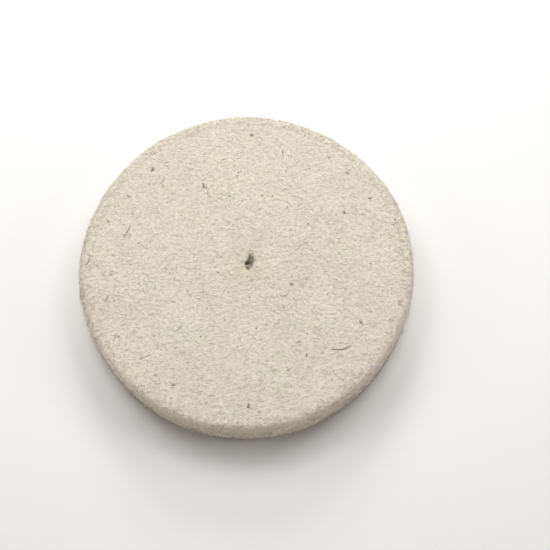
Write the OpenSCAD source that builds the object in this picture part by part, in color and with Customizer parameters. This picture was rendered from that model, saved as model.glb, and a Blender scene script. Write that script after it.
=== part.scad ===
// Felt polishing wheel: one disc of pressed wool felt with a punched pilot hole.
// Millimetres, +Z up. The origin is the centre of the bottom face, on the wheel's axis.

/* [Felt disc] */
// Diameter of the disc over the rim
disc_d = 25.4; // [10:0.1:80]
// Thickness of the felt between the two flat faces
disc_t = 3.6; // [2:0.1:12]
// Radius of the rolled edge where each face turns into the rim
edge_r = 0.75; // [0.1:0.05:0.9]

/* [Pilot hole] */
// Diameter of the punched hole that the mandrel's screw tip is turned into
hole_d = 1.0; // [0.6:0.05:4]
// Radius of the soft lip that the punch leaves at each mouth of the hole
lip_r = 0.15; // [0.05:0.05:0.5]

/* [Hidden] */
$fn = 96;
disc_r = disc_d / 2;
hole_r = hole_d / 2;
// How far the hole's cutting shape runs past each face
cut_past = 1;
felt_colour = [0.86, 0.83, 0.76];

// Half section of the solid disc, to the right of the axis: a straight rim between two rolled edges
module disc_section() {
    square([disc_r - edge_r, disc_t]);
    translate([0, edge_r])
        square([disc_r, disc_t - 2 * edge_r]);
    for (roll_z = [edge_r, disc_t - edge_r])
        translate([disc_r - edge_r, roll_z])
            circle(r = edge_r);
}

// What is missing at one mouth of the hole: a square corner less the quarter round of the lip
module lip_section() {
    difference() {
        square([hole_r + lip_r, lip_r]);
        translate([hole_r + lip_r, lip_r])
            circle(r = lip_r);
    }
}

// Half section of the hole: a straight wall right through, with a lip at the bottom and top face
module hole_section() {
    translate([0, -cut_past])
        square([hole_r, disc_t + 2 * cut_past]);
    lip_section();
    translate([0, disc_t])
        mirror([0, 1])
            lip_section();
}

// The felt disc: its half section turned once about the axis
module felt_disc() {
    color(felt_colour)
        rotate_extrude()
            difference() {
                disc_section();
                hole_section();
            }
}

felt_disc();
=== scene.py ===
import math

import bpy
import numpy as np
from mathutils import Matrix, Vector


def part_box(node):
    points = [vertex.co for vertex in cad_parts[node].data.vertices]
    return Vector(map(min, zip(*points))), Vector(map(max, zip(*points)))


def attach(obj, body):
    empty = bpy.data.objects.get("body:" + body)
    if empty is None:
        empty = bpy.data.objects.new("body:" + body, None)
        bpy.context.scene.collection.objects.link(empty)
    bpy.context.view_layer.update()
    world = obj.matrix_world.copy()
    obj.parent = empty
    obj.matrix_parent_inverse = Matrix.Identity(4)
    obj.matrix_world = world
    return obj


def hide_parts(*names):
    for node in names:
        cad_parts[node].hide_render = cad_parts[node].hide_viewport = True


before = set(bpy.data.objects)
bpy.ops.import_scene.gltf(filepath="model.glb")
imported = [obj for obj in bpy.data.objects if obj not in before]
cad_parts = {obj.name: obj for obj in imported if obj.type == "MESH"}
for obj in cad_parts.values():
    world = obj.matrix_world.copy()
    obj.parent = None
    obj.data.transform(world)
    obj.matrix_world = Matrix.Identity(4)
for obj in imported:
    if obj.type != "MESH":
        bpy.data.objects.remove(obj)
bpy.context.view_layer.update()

MM = 0.001


# ---------------------------------------------------------------------------------------------
# Felt body. The wheel is one disc die-cut from a sheet of pressed wool felt. The cutter rolls both
# edges over a little, leaves the outline slightly out of round, and punches the pilot hole with
# soft, ragged lips that lean in where the felt has closed up again.

disc_low, disc_high = (np.array(corner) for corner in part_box("felt_disc"))
DISC_R = (disc_high[0] - disc_low[0]) / 2
DISC_T = disc_high[2] - disc_low[2]
# The two edges average about the CAD's 0.75 mm: the cutter leaves the upper one sharper than the lower
EDGE_TOP, EDGE_LOW = 0.58 * MM, 1.0 * MM
HOLE_R = 0.5 * MM

# Out of round: how far the rim stands out, as waves once, twice, three and four times round
RIM_WAVES = ((1, 0.34 * MM, 204), (2, 0.05 * MM, 147), (3, 0.035 * MM, 50), (4, 0.025 * MM, 32))
# The mouth of the hole is drawn narrow in X and long in Y, and dips. It all fades over this distance.
MOUTH_X, MOUTH_Y, MOUTH_SHIFT, MOUTH_DIP, MOUTH_FADE = 0.52, 1.2, -0.09 * MM, 0.14 * MM, 0.45 * MM
# The lowest fibres are pressed on to what the wheel lies on, within this height
PRESS = 0.04 * MM
# Felt relief and the raggedness of the hole: wavelength, height and number of waves in each layer
RELIEF_LAYERS = ((7.0 * MM, 0.022 * MM, 10), (2.4 * MM, 0.005 * MM, 16), (0.9 * MM, 0.003 * MM, 24),
                 (0.4 * MM, 0.004 * MM, 32))
RAGGED_LAYERS = ((0.9 * MM, 0.05 * MM, 12), (0.4 * MM, 0.05 * MM, 16), (0.22 * MM, 0.03 * MM, 16))


def random_waves(layers, seed):
    """Random plane waves: a direction on the unit sphere over each wavelength, a height and a phase."""
    draw = np.random.default_rng(seed)
    fronts, heights, phases = [], [], []
    for length, height, count in layers:
        way = draw.normal(size=(count, 3))
        way /= np.linalg.norm(way, axis=1, keepdims=True)
        spread = draw.uniform(0.75, 1.35, (count, 1))
        fronts.append(2 * np.pi * way / (length * spread))
        heights.append(np.full(count, height * math.sqrt(2 / count)))
        phases.append(draw.uniform(0, 2 * np.pi, count))
    return np.concatenate(fronts), np.concatenate(heights), np.concatenate(phases)


def wave_height(points, waves):
    """The sum of the plane waves at each point."""
    flat = points.reshape(-1, 3)
    height = np.zeros(len(flat))
    for front, high, phase in zip(*waves):
        height += high * np.sin(flat @ front + phase)
    return height.reshape(points.shape[:-1])


RELIEF = random_waves(RELIEF_LAYERS, seed=11)
RAGGED = random_waves(RAGGED_LAYERS, seed=12)


def out_of_round(points):
    """Moves points outwards by the rim waves, in proportion to their distance from the axis."""
    x, y = points[..., 0], points[..., 1]
    turn = np.arctan2(y, x)
    stand = sum(high * np.cos(n * turn - math.radians(at)) for n, high, at in RIM_WAVES)
    grow = 1 + stand / DISC_R * np.clip(np.hypot(x, y) / DISC_R, 0, 1)
    return np.stack([x * grow, y * grow, points[..., 2]], -1)


def core_of(points):
    """Closest point of the disc's core, which lies one edge radius inside its faces and rim, and the
    edge radius there, which is one in the upper half of the felt and another in the lower."""
    x, y, z = np.moveaxis(points, -1, 0)
    edge = np.where(z > DISC_T / 2, EDGE_TOP, EDGE_LOW)
    out = np.maximum(np.hypot(x, y), 1e-9)
    keep = np.minimum(out, DISC_R - edge) / out
    return np.stack([x * keep, y * keep, np.clip(z, EDGE_LOW, DISC_T - EDGE_TOP)], -1), edge[..., None]


def on_skin(points, lift=0.0):
    """Brings points onto the felt's skin: from the core's closest point outwards by the edge radius,
    then by the relief there and by lift, and last out of round. Returns the places and the normals."""
    core, edge = core_of(points)
    normal = points - core
    normal /= np.maximum(np.linalg.norm(normal, axis=-1, keepdims=True), 1e-9)
    skin = core + edge * normal
    high = wave_height(skin, RELIEF) + lift
    return out_of_round(skin + high[..., None] * normal), normal


def drawn_in(points):
    """The mouth of the hole: near it, points move in X and Y by the mouth's stretch and by a ragged
    wave, a little to one side, and down into the felt from either face."""
    x, y, z = np.moveaxis(points, -1, 0)
    out = np.hypot(x, y)
    near = np.exp(-np.maximum(out - HOLE_R, 0) / MOUTH_FADE)
    ragged = wave_height(points, RAGGED) / np.maximum(out, HOLE_R)
    side = np.clip(2 * z / DISC_T - 1, -1, 1)
    return np.stack([x + near * (x * (MOUTH_X - 1 + ragged) + MOUTH_SHIFT),
                     y + near * y * (MOUTH_Y - 1 + ragged), z - side * MOUTH_DIP * near ** 2], -1)


def settled(points):
    """Points with their height pressed to above the floor: half the sum of the height and the root of
    its square plus the square of PRESS."""
    z = points[..., 2:]
    return np.concatenate([points[..., :2], (z + np.sqrt(z ** 2 + PRESS ** 2)) / 2], -1)


def new_piece(name, points, faces, spots=None):
    """A mesh object at the origin from an (n, 3) array of points and a list of arrays of faces. spots
    are the places of the faces' corners on the piece's map, in the same order."""
    mesh = bpy.data.meshes.new(name)
    mesh.from_pydata(points.tolist(), [], [f for part in faces for f in part.tolist()])
    mesh.polygons.foreach_set("use_smooth", np.ones(len(mesh.polygons), bool))
    if spots:
        flat = np.concatenate([part.ravel() for part in spots])
        mesh.uv_layers.new(name="OFBake").uv.foreach_set("vector", flat.astype(np.float32))
    mesh.update()
    piece = bpy.data.objects.new(name, mesh)
    bpy.context.scene.collection.objects.link(piece)
    return piece


def ring_grid(along, around):
    """Quads of a grid of points that closes on itself both along and around."""
    i, j = np.meshgrid(np.arange(along), np.arange(around), indexing="ij")
    i2, j2 = (i + 1) % along, (j + 1) % around
    return np.stack([i * around + j, i * around + j2, i2 * around + j2, i2 * around + j], -1).reshape(-1, 4)


def felt_section():
    """The closed half section, as distance from the axis and height: out along the top face, round
    the rim, back along the bottom face and up the wall of the hole. Also the points where the rim
    starts and ends."""
    mouth_r = HOLE_R + 2 * MOUTH_FADE
    near = np.linspace(HOLE_R, mouth_r, 13)[:-1]
    top = np.concatenate([near, np.linspace(mouth_r, DISC_R - EDGE_TOP, 62)])
    low = np.concatenate([near, np.linspace(mouth_r, DISC_R - EDGE_LOW, 62)])[::-1]
    down = np.linspace(0, np.pi / 2, 9)[1:]
    wall = np.linspace(DISC_T - EDGE_TOP, EDGE_LOW, 12)[1:]
    under = down[::-1][1:]
    bore = np.linspace(0, DISC_T, 15)[1:-1]
    out = np.concatenate([top, DISC_R - EDGE_TOP * (1 - np.sin(down)), np.full(len(wall), DISC_R),
                          DISC_R - EDGE_LOW * (1 - np.sin(under)), low, np.full(len(bore), HOLE_R)])
    up = np.concatenate([np.full(len(top), DISC_T), DISC_T - EDGE_TOP * (1 - np.cos(down)), wall,
                         EDGE_LOW * (1 - np.cos(under)), np.zeros(len(low)), bore])
    return out, up, len(top) - 1, len(out) - len(bore) - len(low)


def section_spots(out, first, last, across, turns):
    """Map places of the body's quads, whose corners run in the order of ring_grid. Both faces lie flat,
    the rim between them is cut in two strips one above the other, and the hole's wall is a small strip.
    first and last are the section's points where the rim starts and ends."""
    i, j = np.meshgrid(np.arange(across), np.arange(turns), indexing="ij")
    along = np.stack([i, i, i + 1, i + 1], -1)
    around = np.stack([j, j + 1, j + 1, j], -1)
    half = (j >= turns // 2)[..., None]
    turn, far = 2 * np.pi * around / turns, np.append(out, out[0])[along] / DISC_R
    top = np.stack([0.3 + 0.29 * far * np.cos(turn), 0.7 + 0.29 * far * np.sin(turn)], -1)
    bottom = np.stack([0.8 + 0.19 * far * np.cos(turn), 0.8 + 0.19 * far * np.sin(turn)], -1)
    rim = np.stack([0.01 + 1.96 * (around / turns - half / 2), 0.02 + 0.16 * half
                    + 0.14 * (along - first) / (last - first)], -1)
    under = last + first
    bore = np.stack([0.65 + 0.3 * around / turns, 0.4 + 0.12 * (along - under) / (across - under)], -1)
    kind = np.searchsorted((first, last, under), i, side="right")[..., None, None]
    return np.select([kind == 0, kind == 1, kind == 2], [top, rim, bottom], bore)


def felt_body():
    """The section carried round the axis. Faces and rim are put on the skin, and the wall of the hole
    stays as it is until the mouth is drawn in."""
    out, up, first, last = felt_section()
    count = 520
    turns = 2 * np.pi * np.arange(count) / count
    points = np.stack([out[:, None] * np.cos(turns), out[:, None] * np.sin(turns),
                       np.repeat(up[:, None], count, 1)], -1)
    skin, _ = on_skin(points)
    in_bore = (np.arange(len(out)) > last + first)[:, None, None]
    skin = settled(drawn_in(np.where(in_bore, points, skin)))
    spots = section_spots(out, first, last, len(out), count)
    return new_piece("felt_body", skin.reshape(-1, 3), [ring_grid(len(out), count)[:, ::-1]],
                     [spots.reshape(-1, 4, 2)[:, ::-1]])


# The wool round the hole is a little stained, most of all at this place and out to this distance
STAIN_AT, STAIN_R = (-0.35 * MM, -0.4 * MM, DISC_T), 2.2 * MM


def felt_colours(nodes, links, place, light, dark, toned):
    """Wool colour from the place on the disc: fine fibre streaks between the light and dark wool, with
    broad faint pinkish and greenish clouds and the stain over them. Returns the colour socket."""
    def noise(scale, stretch, detail, rough=0.6):
        turn = nodes.new("ShaderNodeMapping")
        turn.inputs["Scale"].default_value = stretch
        links.new(place, turn.inputs["Vector"])
        made = nodes.new("ShaderNodeTexNoise")
        made.inputs["Scale"].default_value = scale
        made.inputs["Detail"].default_value = detail
        made.inputs["Roughness"].default_value = rough
        links.new(turn.outputs["Vector"], made.inputs["Vector"])
        return made.outputs["Fac"]

    def ramp(value, low, high, first, last):
        made = nodes.new("ShaderNodeValToRGB")
        made.color_ramp.elements[0].position, made.color_ramp.elements[1].position = low, high
        made.color_ramp.elements[0].color = (*first, 1)
        made.color_ramp.elements[1].color = (*last, 1)
        links.new(value, made.inputs["Fac"])
        return made.outputs["Color"]

    def times(first, second):
        made = nodes.new("ShaderNodeMix")
        made.data_type, made.blend_type = "RGBA", "MULTIPLY"
        made.inputs["Factor"].default_value = 1.0
        links.new(first, made.inputs["A"])
        links.new(second, made.inputs["B"])
        return made.outputs["Result"]

    if toned:
        tone = nodes.new("ShaderNodeAttribute")
        tone.attribute_name = "tone"
        wool = ramp(tone.outputs["Fac"], 0.0, 1.0, dark, light)
    else:
        wool = ramp(noise(10000, (0.5, 1, 1), 3), 0.35, 0.62, dark, light)
    mottle = ramp(noise(1500, (0.8, 1, 1), 3), 0.3, 0.7, (1.0, 0.975, 0.99), (0.985, 1.0, 0.94))
    pink = ramp(noise(300, (1, 1, 1), 2), 0.35, 0.65, (1.0, 0.98, 0.993), (0.98, 1.0, 0.97))
    cloud = ramp(noise(420, (0.8, 1, 1), 4), 0.32, 0.62, (0.95, 0.95, 0.95), (1.0, 1.0, 1.0))
    away = nodes.new("ShaderNodeVectorMath")
    away.operation = "DISTANCE"
    away.inputs[1].default_value = STAIN_AT
    links.new(place, away.inputs[0])
    share = nodes.new("ShaderNodeMath")
    share.operation = "DIVIDE"
    share.inputs[1].default_value = STAIN_R
    links.new(away.outputs["Value"], share.inputs[0])
    stain = ramp(share.outputs["Value"], 0.15, 1.0, (0.93, 0.94, 0.86), (1.0, 1.0, 1.0))
    return times(times(times(wool, mottle), pink), times(cloud, stain))


def felt_material(name, light, dark, grain, toned=False):
    """Matte wool: the felt colours, a soft sheen from the fibre ends, and a fine fibre bump. A toned
    material takes each strand's tone, from 0 for dark wool to 1 for light, in place of streaks."""
    made = bpy.data.materials.new(name)
    made.use_nodes = True
    nodes, links = made.node_tree.nodes, made.node_tree.links
    skin = nodes["Principled BSDF"]
    place = nodes.new("ShaderNodeTexCoord").outputs["Object"]
    links.new(felt_colours(nodes, links, place, light, dark, toned), skin.inputs["Base Color"])
    skin.inputs["Roughness"].default_value = 0.95
    skin.inputs["Specular IOR Level"].default_value = 0.15
    skin.inputs["Sheen Weight"].default_value = 0.25
    skin.inputs["Sheen Roughness"].default_value = 0.6
    if grain:
        turn = nodes.new("ShaderNodeMapping")
        turn.inputs["Scale"].default_value = (0.5, 1, 1)
        links.new(place, turn.inputs["Vector"])
        fine = nodes.new("ShaderNodeTexNoise")
        fine.inputs["Scale"].default_value = 8000
        fine.inputs["Detail"].default_value = 4
        fine.inputs["Distortion"].default_value = 0.6
        links.new(turn.outputs["Vector"], fine.inputs["Vector"])
        bump = nodes.new("ShaderNodeBump")
        bump.inputs["Strength"].default_value = 0.7
        bump.inputs["Distance"].default_value = grain
        links.new(fine.outputs["Fac"], bump.inputs["Height"])
        links.new(bump.outputs["Normal"], skin.inputs["Normal"])
    return made


WOOL_LIGHT = (0.78, 0.727, 0.632)
WOOL_DARK = (0.58, 0.536, 0.455)
body = felt_body()
body.data.materials.append(felt_material("pressed_wool", WOOL_LIGHT, WOOL_DARK, 0.03 * MM))
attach(body, "root")
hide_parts("felt_disc")


# ---------------------------------------------------------------------------------------------
# Nap. Loose loops and ends of wool lie all over both faces and round the rim, where the cutter
# has pulled them up. They are the same fibres as the felt, half sunk in it.

def strand_spots(count, steps, sides):
    """Map places of the quads and then the tips of strands. Each strand has a cell of its own in a
    square grid, with its length across the cell and its girth up it."""
    k, m = np.meshgrid(np.arange(steps - 3), np.arange(sides), indexing="ij")
    quads = np.stack([np.stack([k, k, k + 1, k + 1], -1) + 1, np.stack([m, m + 1, m + 1, m], -1)], -1)
    m = np.arange(sides)
    start = np.stack([np.stack([0 * m, 0 * m + 1, 0 * m + 1], -1), np.stack([m + 0.5, m + 1, m], -1)], -1)
    end = np.stack([steps - 1 - start[..., 0], np.stack([m + 0.5, m, m + 1], -1)], -1)
    cells = math.ceil(math.sqrt(count))
    corner = np.stack([np.arange(count) % cells, np.arange(count) // cells], -1)[:, None, None]
    return [(corner + 0.15 + 0.7 * part / (steps - 1, sides)) / cells
            for part in (quads.reshape(-1, 4, 2), np.concatenate([start, end]))]


def strands(name, paths, width, tone, sides=3):
    """Closed thin tubes, one along each path of shape (fibre, step, 3). The radius is half the width
    times the fourth root of the half sine of the share of the length, so that both ends close to a
    point, and each ring stands across the path. Each strand keeps its tone on its points."""
    count, steps, _ = paths.shape
    ahead = np.gradient(paths, axis=1)
    ahead /= np.maximum(np.linalg.norm(ahead, axis=-1, keepdims=True), 1e-12)
    other = np.roll(ahead.mean(1, keepdims=True), 1, axis=-1) + (0.31, -0.17, 0.53)
    across = np.cross(ahead, other)
    across /= np.maximum(np.linalg.norm(across, axis=-1, keepdims=True), 1e-12)
    third = np.cross(ahead, across)
    share = np.linspace(0, 1, steps)[1:-1]
    radius = 0.5 * width[:, None] * np.sin(np.pi * share) ** 0.25
    turn = 2 * np.pi * np.arange(sides) / sides
    ring = (np.cos(turn)[:, None] * across[:, 1:-1, None] + np.sin(turn)[:, None] * third[:, 1:-1, None])
    rings = paths[:, 1:-1, None] + radius[..., None, None] * ring
    inner = (steps - 2) * sides
    points = np.concatenate([rings.reshape(count, inner, 3), paths[:, :1], paths[:, -1:]], 1)
    k, m = np.meshgrid(np.arange(steps - 3), np.arange(sides), indexing="ij")
    m2 = (m + 1) % sides
    quads = np.stack([k * sides + m, k * sides + m2, (k + 1) * sides + m2, (k + 1) * sides + m], -1)
    m = np.arange(sides)
    last = (steps - 3) * sides
    tips = np.concatenate([np.stack([np.full(sides, inner), (m + 1) % sides, m], -1),
                           np.stack([np.full(sides, inner + 1), last + m, last + (m + 1) % sides], -1)])
    first = (np.arange(count) * (inner + 2))[:, None, None]
    faces = [(first + quads.reshape(1, -1, 4)).reshape(-1, 4), (first + tips[None]).reshape(-1, 3)]
    piece = new_piece(name, settled(points).reshape(-1, 3), faces, strand_spots(count, steps, sides))
    held = piece.data.attributes.new("tone", "FLOAT", "POINT")
    held.data.foreach_set("value", np.repeat(tone, inner + 2).astype(np.float32))
    return piece


def wool_tones(draw, count):
    """Tones that are mostly light, with a thin tail of dark wool: one less the cube of an even draw."""
    return 1 - draw.uniform(0, 1, count) ** 3


def curly_paths(draw, feet, heading, up, length, steps, curl):
    """Paths that start at the feet and wander in the plane across up. The heading, which is from X on
    the two faces, turns steadily and sways once or twice along the way, by curl radians in all."""
    count = len(feet)
    share = (np.arange(steps) + 0.5) / steps
    bend = draw.normal(0, curl, (count, 1)) * share
    sway = draw.uniform(0.3, 1.0, (count, 1)) * curl * np.sin(
        2 * np.pi * draw.uniform(0.6, 1.6, (count, 1)) * share + draw.uniform(0, 6.28, (count, 1)))
    turn = heading[:, None] + bend + sway
    other = np.cross(up, np.roll(up, 1, axis=-1) + (0.2, 0.0, 0.4))
    other /= np.linalg.norm(other, axis=-1, keepdims=True)
    flat = np.cross(other, up)
    step = (np.cos(turn)[..., None] * flat[:, None] + np.sin(turn)[..., None] * other[:, None])
    path = np.cumsum(step * (length / steps)[:, None, None], 1)
    return feet[:, None] + path - path.mean(1, keepdims=True)


def face_nap(name, seed, count, side):
    """Fibres that lie on one face, where side is 1 for the top and -1 for the bottom. Most lie within
    half a radian of X, the way the wool was carded. Their middles rise a little and their ends dip in."""
    draw = np.random.default_rng(seed)
    out = np.sqrt(draw.uniform((0.9 * HOLE_R) ** 2, (DISC_R - 0.3 * EDGE_TOP) ** 2, count))
    turn = draw.uniform(0, 2 * np.pi, count)
    feet = np.stack([out * np.cos(turn), out * np.sin(turn), np.full(count, DISC_T * (side > 0))], -1)
    up = np.tile((0.0, 0.0, float(side)), (count, 1))
    length = draw.uniform(0.2, 0.65, count) * MM
    heading = draw.normal(-0.08, 0.6, count)
    paths = curly_paths(draw, feet, heading, up, length, 5, 0.35)
    share = np.linspace(0, 1, 5)
    rise = draw.uniform(-0.012, 0.004, (count, 1)) * MM
    lift = rise + draw.uniform(0.006, 0.018, (count, 1)) * MM * (np.sin(np.pi * share) - 0.4)
    skin, _ = on_skin(paths, lift)
    return strands(name, drawn_in(skin), draw.uniform(0.02, 0.035, count) * MM, wool_tones(draw, count))


NAP_LIGHT = (0.86, 0.812, 0.712)
NAP_DARK = (0.41, 0.368, 0.307)
nap_wool = felt_material("nap_wool", NAP_LIGHT, NAP_DARK, 0, toned=True)
naps = [face_nap(name, seed, 11000, side) for name, seed, side in
        (("top_nap_a", 21, 1), ("top_nap_b", 22, 1), ("top_nap_c", 25, 1),
         ("bottom_nap_a", 23, -1), ("bottom_nap_b", 24, -1))]

# How far in over the faces the rim's fibres reach, and where their streaks have faded to half
COMBED_IN, STREAK_FADE = 0.9 * MM, 0.4 * MM
# Combing of the rim: wavelength, height and number of waves in each layer, across the streaks
COMB_LAYERS = ((0.5 * MM, 0.3, 10), (0.24 * MM, 0.55, 20), (0.15 * MM, 0.3, 20))
COMB = random_waves(COMB_LAYERS, seed=33)


def rim_nap(name, seed, count, length, width, loose, tone):
    """Fibres on the rim and in from its rolled edges, combed away from the faces by the cutter. Their
    tone goes by streaks that run up the rim, and is painted lighter with height and on the top face:
    painted shade towards the floor and painted light on the top edge. loose is how far the freest
    tips stand off the felt, and tone lifts them all."""
    draw = np.random.default_rng(seed)
    turn = draw.uniform(0, 2 * np.pi, count)
    z = np.clip(draw.uniform(-0.3, 1.3, count) * DISC_T, 0, DISC_T)
    inward = draw.uniform(0, 1, count) ** 1.5 * COMBED_IN * ((z == 0) | (z == DISC_T))
    feet = np.stack([(DISC_R - inward) * np.cos(turn), (DISC_R - inward) * np.sin(turn), z], -1)
    up = np.stack([np.cos(turn), np.sin(turn), np.zeros(count)], -1)
    spine = np.tile((0.0, 0.0, 1.0), (count, 1))
    spine[inward > EDGE_TOP] = -up[inward > EDGE_TOP]
    lean = draw.normal(0, 0.16 + loose, count)
    side = np.cross((0.0, 0.0, 1.0), up)
    way = np.cos(lean)[:, None] * spine + np.sin(lean)[:, None] * side
    share = np.linspace(-0.5, 0.5, 6)
    bow = draw.normal(0, 0.12, (count, 1, 1)) * (share ** 2)[None, :, None]
    long = draw.uniform(*length, count)[:, None, None] * MM
    paths = feet[:, None] + long * (share[None, :, None] * way[:, None] + bow * side[:, None])
    free = draw.uniform(0, 1, (count, 1)) ** 2 * loose * MM
    streak = wave_height(np.stack([DISC_R * np.cos(turn), DISC_R * np.sin(turn), 0 * turn], -1), COMB)
    streak *= np.where(inward > STREAK_FADE, 0.5, 1.0)
    high = draw.uniform(-0.012, 0.012, count) + 0.014 * streak
    lift = high[:, None] * MM + free * (share + 0.5) ** 2
    skin, _ = on_skin(paths, lift)
    # Painted shade and light: darker towards the floor, lighter up the rim and lighter still on the top
    # face
    tone += 0.7 * streak + 0.6 * (z / DISC_T - 0.5) + 0.15 * (z == DISC_T)
    tone = np.clip(wool_tones(draw, count) + tone, 0, 1)
    return strands(name, skin, draw.uniform(*width, count) * MM, tone)


# The rim's wool is painted darker and warmer than the faces': painted warm shade from the floor's bounce
RIM_LIGHT = (0.86, 0.765, 0.662)
RIM_DARK = (0.27, 0.212, 0.168)
rim_wool_painted_shade = felt_material("rim_wool_painted_shade", RIM_LIGHT, RIM_DARK, 0, toned=True)
# The loose fuzz is given a light tone: painted highlight where its tips catch the light from behind
rims = [rim_nap("rim_nap", 31, 8000, (0.18, 0.5), (0.018, 0.034), 0.05, -0.1),
        rim_nap("rim_nap_over", 32, 8000, (0.18, 0.45), (0.02, 0.036), 0.14, 0.0),
        rim_nap("rim_fuzz", 34, 8000, (0.15, 0.45), (0.015, 0.022), 0.35, 0.6)]
for nap, wool in zip(naps + rims, [nap_wool] * 5 + [rim_wool_painted_shade] * 3):
    nap.data.materials.append(wool)
    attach(nap, "root")


# ---------------------------------------------------------------------------------------------
# Frays in the pilot hole. The punch cuts the wool and leaves ends that stick into the hole. They
# cross its mouth and fill it loosely further down, so the hole looks grey-brown and not black.

FRAY_STEPS = 7


def fray_tangle(name, seed, count, deep, reach, width, tone):
    """Strands across the hole: each starts at its wall, runs by reach of the way to another point of
    it and sags in the middle. deep gives how far below the top face or above the bottom one they lie."""
    draw = np.random.default_rng(seed)
    start = draw.uniform(0, 2 * np.pi, count)
    over = start + draw.normal(np.pi, 0.9, count)
    top = (draw.uniform(0, 1, count) < 0.5)[:, None]
    share = np.linspace(0, 1, FRAY_STEPS)
    reach = draw.uniform(*reach, (count, 1)) * share
    x = HOLE_R * ((1 - reach) * np.cos(start)[:, None] + reach * np.cos(over)[:, None])
    y = HOLE_R * ((1 - reach) * np.sin(start)[:, None] + reach * np.sin(over)[:, None])
    level = draw.uniform(*deep, (count, 2)) * MM
    down = (1 - reach) * level[:, :1] + reach * level[:, 1:]
    down += draw.uniform(0, 0.2, (count, 1)) * MM * np.sin(np.pi * share)
    paths = np.stack([x, y, np.where(top, DISC_T - down, down)], -1)
    paths += draw.normal(0, 0.03, (count, 1, 3)) * MM * np.sin(2 * np.pi * share)[:, None]
    return strands(name, drawn_in(paths), draw.uniform(*width, count) * MM, tone * wool_tones(draw, count))


# The tangle deep in the hole has a darker tone than the frays at its mouth: painted shade inside the hole
for name, seed, count, deep, reach, width, tone in (
        ("hole_frays", 41, 90, (-0.03, 0.08), (0.1, 0.42), (0.018, 0.034), 0.95),
        ("hole_tangle", 42, 190, (0.3, 1.1), (0.35, 1.0), (0.03, 0.055), 0.6)):
    tangle = fray_tangle(name, seed, count, deep, reach, width, tone)
    tangle.data.materials.append(nap_wool)
    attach(tangle, "root")


# ---------------------------------------------------------------------------------------------
# Kemp. Coarse dark hairs that the wool was carded with show as short strokes and cut ends. Twenty
# that stand out lie roughly where this wheel has them; all the others are strewn at random.

# The hairs that stand out most: hour on the clock face seen from above, tenths of the way out to the
# rim, length in tenths of a millimetre, heading and bend in degrees, and paleness in tenths
KEMP = (
    (12, 9, 3, 150, 0, 1), (1.5, 9, 3, 60, 0, 2), (10.5, 9, 3, 150, 0, 0), (11, 6, 3, 90, 0, 1),
    (2, 7, 3, 150, 0, 3), (4, 3, 2, 45, 0, 1), (5, 7, 2, 0, 0, 2), (7, 9, 2, 0, 0, 2),
    (6, 9, 3, 170, 0, 0), (4, 8, 3, 120, 0, 3), (12.5, 8, 6, 95, 25, 5), (10.5, 8, 8, 60, 40, 4),
    (2, 9, 4, 20, 20, 0), (9.5, 8, 14, 65, 15, 3), (10, 9, 5, 160, 40, 3), (8.5, 9, 7, 60, 70, 3),
    (4.5, 8, 19, 5, 70, 2), (4.5, 3, 13, 5, 215, 7), (5, 6, 4, 0, 30, 3), (9, 10, 9, 70, 60, 4),
)
# Ten tenths out is this share of the radius, which keeps the hairs on the face. A hair shorter than
# BUNDLE_UNDER, in millimetres, is the end of a bundle of this many.
KEMP_REACH, BUNDLE_UNDER, BUNDLE_COUNT = 0.95, 0.4, 7


def bent_paths(feet, heading, bend, length, steps):
    """Paths through the feet whose heading turns evenly from one end to the other by bend."""
    share = (np.arange(steps) + 0.5) / steps - 0.5
    turn = heading[:, None] + bend[:, None] * share
    step = np.stack([np.cos(turn), np.sin(turn), np.zeros_like(turn)], -1) * (length / steps)[:, None, None]
    path = np.cumsum(step, 1)
    return feet[:, None] + path - path.mean(1, keepdims=True)


def kemp_on_top():
    """The hairs of the list, half sunk in the top face. The hour turns clockwise from +Y, thirty
    degrees each. A bundle's end is made of shorter hairs that lie about its place and heading."""
    draw = np.random.default_rng(50)
    hour, out, long, heading, bend, pale = np.array(KEMP).T
    turn, out = np.radians(90 - 30 * hour), KEMP_REACH * DISC_R / MM * out / 10
    marks = np.stack([out * np.cos(turn), out * np.sin(turn), long / 10, heading, bend, pale / 10], -1)
    short = marks[:, 2] < BUNDLE_UNDER
    bundle = np.repeat(marks[short], BUNDLE_COUNT, axis=0)
    count = len(bundle)
    bundle[:, :2] += draw.normal(0, 0.075, (count, 2))
    bundle[:, 2] *= draw.uniform(0.5, 1.1, count)
    bundle[:, 3] += draw.normal(0, 35, count)
    bundle[:, 5] = np.clip(bundle[:, 5] + draw.uniform(0.1, 0.75, count), 0, 1)
    x, y, length, heading, bend, pale = np.concatenate([marks[~short], bundle]).T
    feet = np.stack([x * MM, y * MM, np.full(len(x), DISC_T)], -1)
    paths = bent_paths(feet, np.radians(heading), np.radians(bend), length * MM, 10)
    width = (0.055 + 0.05 * (1 - pale) ** 2) * MM
    skin, _ = on_skin(paths, np.repeat(0.014 * MM - 0.2 * width, 10).reshape(-1, 10))
    return strands("kemp_top", skin, width, pale, sides=5)


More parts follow.
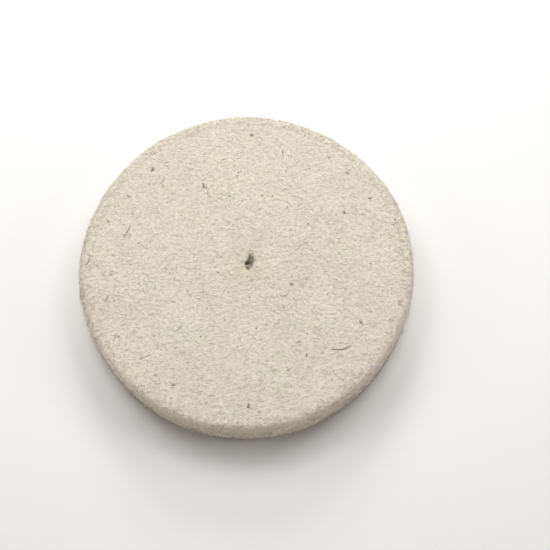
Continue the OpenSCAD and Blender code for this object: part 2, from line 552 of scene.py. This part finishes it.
def kemp_strewn(name, seed, count, length, width, pale, sides):
    """Hairs strewn evenly at random over the faces or the rim of the wheel. sides holds the share of
    them on the top face, the bottom face and the rim."""
    draw = np.random.default_rng(seed)
    side = draw.choice(3, count, p=sides)
    turn = draw.uniform(0, 2 * np.pi, count)
    out = np.sqrt(draw.uniform((2 * HOLE_R) ** 2, (DISC_R - 0.2 * EDGE_TOP) ** 2, count))
    out[side == 2] = DISC_R
    z = np.choose(side, [np.full(count, DISC_T), np.zeros(count), draw.uniform(0.1, 0.9, count) * DISC_T])
    feet = np.stack([out * np.cos(turn), out * np.sin(turn), z], -1)
    up = np.stack([np.cos(turn) * (side == 2), np.sin(turn) * (side == 2), 1.0 - side * (side < 2) * 2], -1)
    up[side == 2, 2] = 0
    long = draw.uniform(*length, count) * MM
    paths = curly_paths(draw, feet, draw.uniform(0, 2 * np.pi, count), up, long, 7, 0.7)
    thick = draw.uniform(*width, count) * MM
    skin, _ = on_skin(paths, np.repeat(0.018 * MM - 0.35 * thick, 7).reshape(-1, 7))
    return strands(name, skin, thick, draw.uniform(*pale, count), sides=4)


kemp = bpy.data.materials.new("kemp_brown")
kemp.use_nodes = True
kemp_skin = kemp.node_tree.nodes["Principled BSDF"]
paleness = kemp.node_tree.nodes.new("ShaderNodeAttribute")
paleness.attribute_name = "tone"
browns = kemp.node_tree.nodes.new("ShaderNodeValToRGB")
browns.color_ramp.elements[0].color = (0.06, 0.048, 0.036, 1)
browns.color_ramp.elements[1].color = (0.46, 0.38, 0.30, 1)
kemp.node_tree.links.new(paleness.outputs["Fac"], browns.inputs["Fac"])
kemp.node_tree.links.new(browns.outputs["Color"], kemp_skin.inputs["Base Color"])
kemp_skin.inputs["Roughness"].default_value = 0.6
hairs = [kemp_on_top(),
         kemp_strewn("kemp_unders", 51, 90, (0.2, 1.2), (0.05, 0.09), (0.1, 0.6), (0.0, 0.62, 0.38)),
         kemp_strewn("kemp_specks", 52, 400, (0.08, 0.2), (0.03, 0.05), (0.6, 1.0), (0.42, 0.4, 0.18)),
         kemp_strewn("kemp_ends", 54, 260, (0.12, 0.3), (0.08, 0.17), (0.45, 1.0), (0.42, 0.4, 0.18)),
         kemp_strewn("grey_hairs", 53, 200, (0.3, 0.9), (0.016, 0.028), (0.5, 1.0), (0.42, 0.4, 0.18))]
for hair in hairs:
    hair.data.materials.append(kemp)
    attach(hair, "root")


# ---------------------------------------------------------------------------------------------
# Studio. A pale floor that turns up into a round sweep far out, two soft panels behind the wheel, a
# soft ceiling, a low window behind it, a low card at either side, an even sky, and the camera.

def sweep_floor():
    """A disc that is flat in the middle and turns up on a quarter circle into a low wall."""
    flat, bend = 0.45, 0.25
    angle = np.linspace(0, np.pi / 2, 13)
    out = np.concatenate([[0.02, 0.1], flat + bend * np.sin(angle)])
    up = np.concatenate([[0, 0], bend * (1 - np.cos(angle))])
    turns = 2 * np.pi * np.arange(96) / 96
    points = np.stack([out[:, None] * np.cos(turns), out[:, None] * np.sin(turns),
                       np.repeat(up[:, None], 96, 1)], -1).reshape(-1, 3)
    quads = ring_grid(len(out), 96).reshape(len(out), 96, 4)[:-1].reshape(-1, 4)
    return new_piece("floor", points, [quads[:, ::-1], np.arange(96)[None]])


floor = sweep_floor()
paper = bpy.data.materials.new("pale_floor")
paper.use_nodes = True
paper_skin = paper.node_tree.nodes["Principled BSDF"]
paper_skin.inputs["Base Color"].default_value = (0.865, 0.847, 0.836, 1)
paper_skin.inputs["Roughness"].default_value = 0.7
floor.data.materials.append(paper)

sky = bpy.data.worlds.new("sky")
bpy.context.scene.world = sky
sky.use_nodes = True
sky.node_tree.nodes["Background"].inputs["Color"].default_value = (1, 0.93, 0.87, 1)
sky.node_tree.nodes["Background"].inputs["Strength"].default_value = 0.085


def area_light(name, place, aim, size, watts):
    """A square soft light at place that faces aim."""
    lamp = bpy.data.lights.new(name, "AREA")
    lamp.size, lamp.energy = size, watts
    lit = bpy.data.objects.new(name, lamp)
    lit.location = place
    ahead = np.array(aim) - np.array(place)
    lit.rotation_euler = (math.atan2(math.hypot(ahead[0], ahead[1]), -ahead[2]), 0,
                          math.atan2(ahead[1], ahead[0]) - math.pi / 2)
    lit.visible_camera = False
    bpy.context.scene.collection.objects.link(lit)


area_light("panel_right", (0.038, 0.042, 0.078), (0, 0, 0), 0.05, 0.0375)
area_light("panel_left", (-0.038, 0.042, 0.078), (0, 0, 0), 0.05, 0.039)


# How wide each far light looks from the wheel, in degrees, which sets how soft its shadows are
FAR_LIGHT_WIDTH = 26


def far_light(name, strength, tilt, turn):
    """Soft light from far off: from above, tilted by tilt, towards +X turned by turn about Z."""
    lamp = bpy.data.lights.new(name, "SUN")
    lamp.energy, lamp.angle = strength, math.radians(FAR_LIGHT_WIDTH)
    lit = bpy.data.objects.new(name, lamp)
    lit.rotation_euler = (0, math.radians(tilt), math.radians(turn))
    bpy.context.scene.collection.objects.link(lit)


far_light("ceiling", 0.414, 10, 90)
far_light("window", 1.935, 70, 90)
far_light("card_right", 0.74, 70, 0)
far_light("card_left", 0.64, 70, 180)

camera = bpy.data.cameras.new("camera")
camera.lens, camera.sensor_width, camera.clip_start = 65.45, 36, 0.005
eye = bpy.data.objects.new("camera", camera)
ELEVATION, DISTANCE = math.radians(70), 6.232 * DISC_R
aim = np.array([0.1464 * DISC_R, 0.0225 * DISC_R, 0])
eye.location = aim + DISTANCE * np.array([0, -math.cos(ELEVATION), math.sin(ELEVATION)])
eye.rotation_euler = (math.pi / 2 - ELEVATION, 0, 0)
bpy.context.scene.collection.objects.link(eye)
bpy.context.scene.camera = eye
bpy.context.scene.view_settings.view_transform = "Standard"
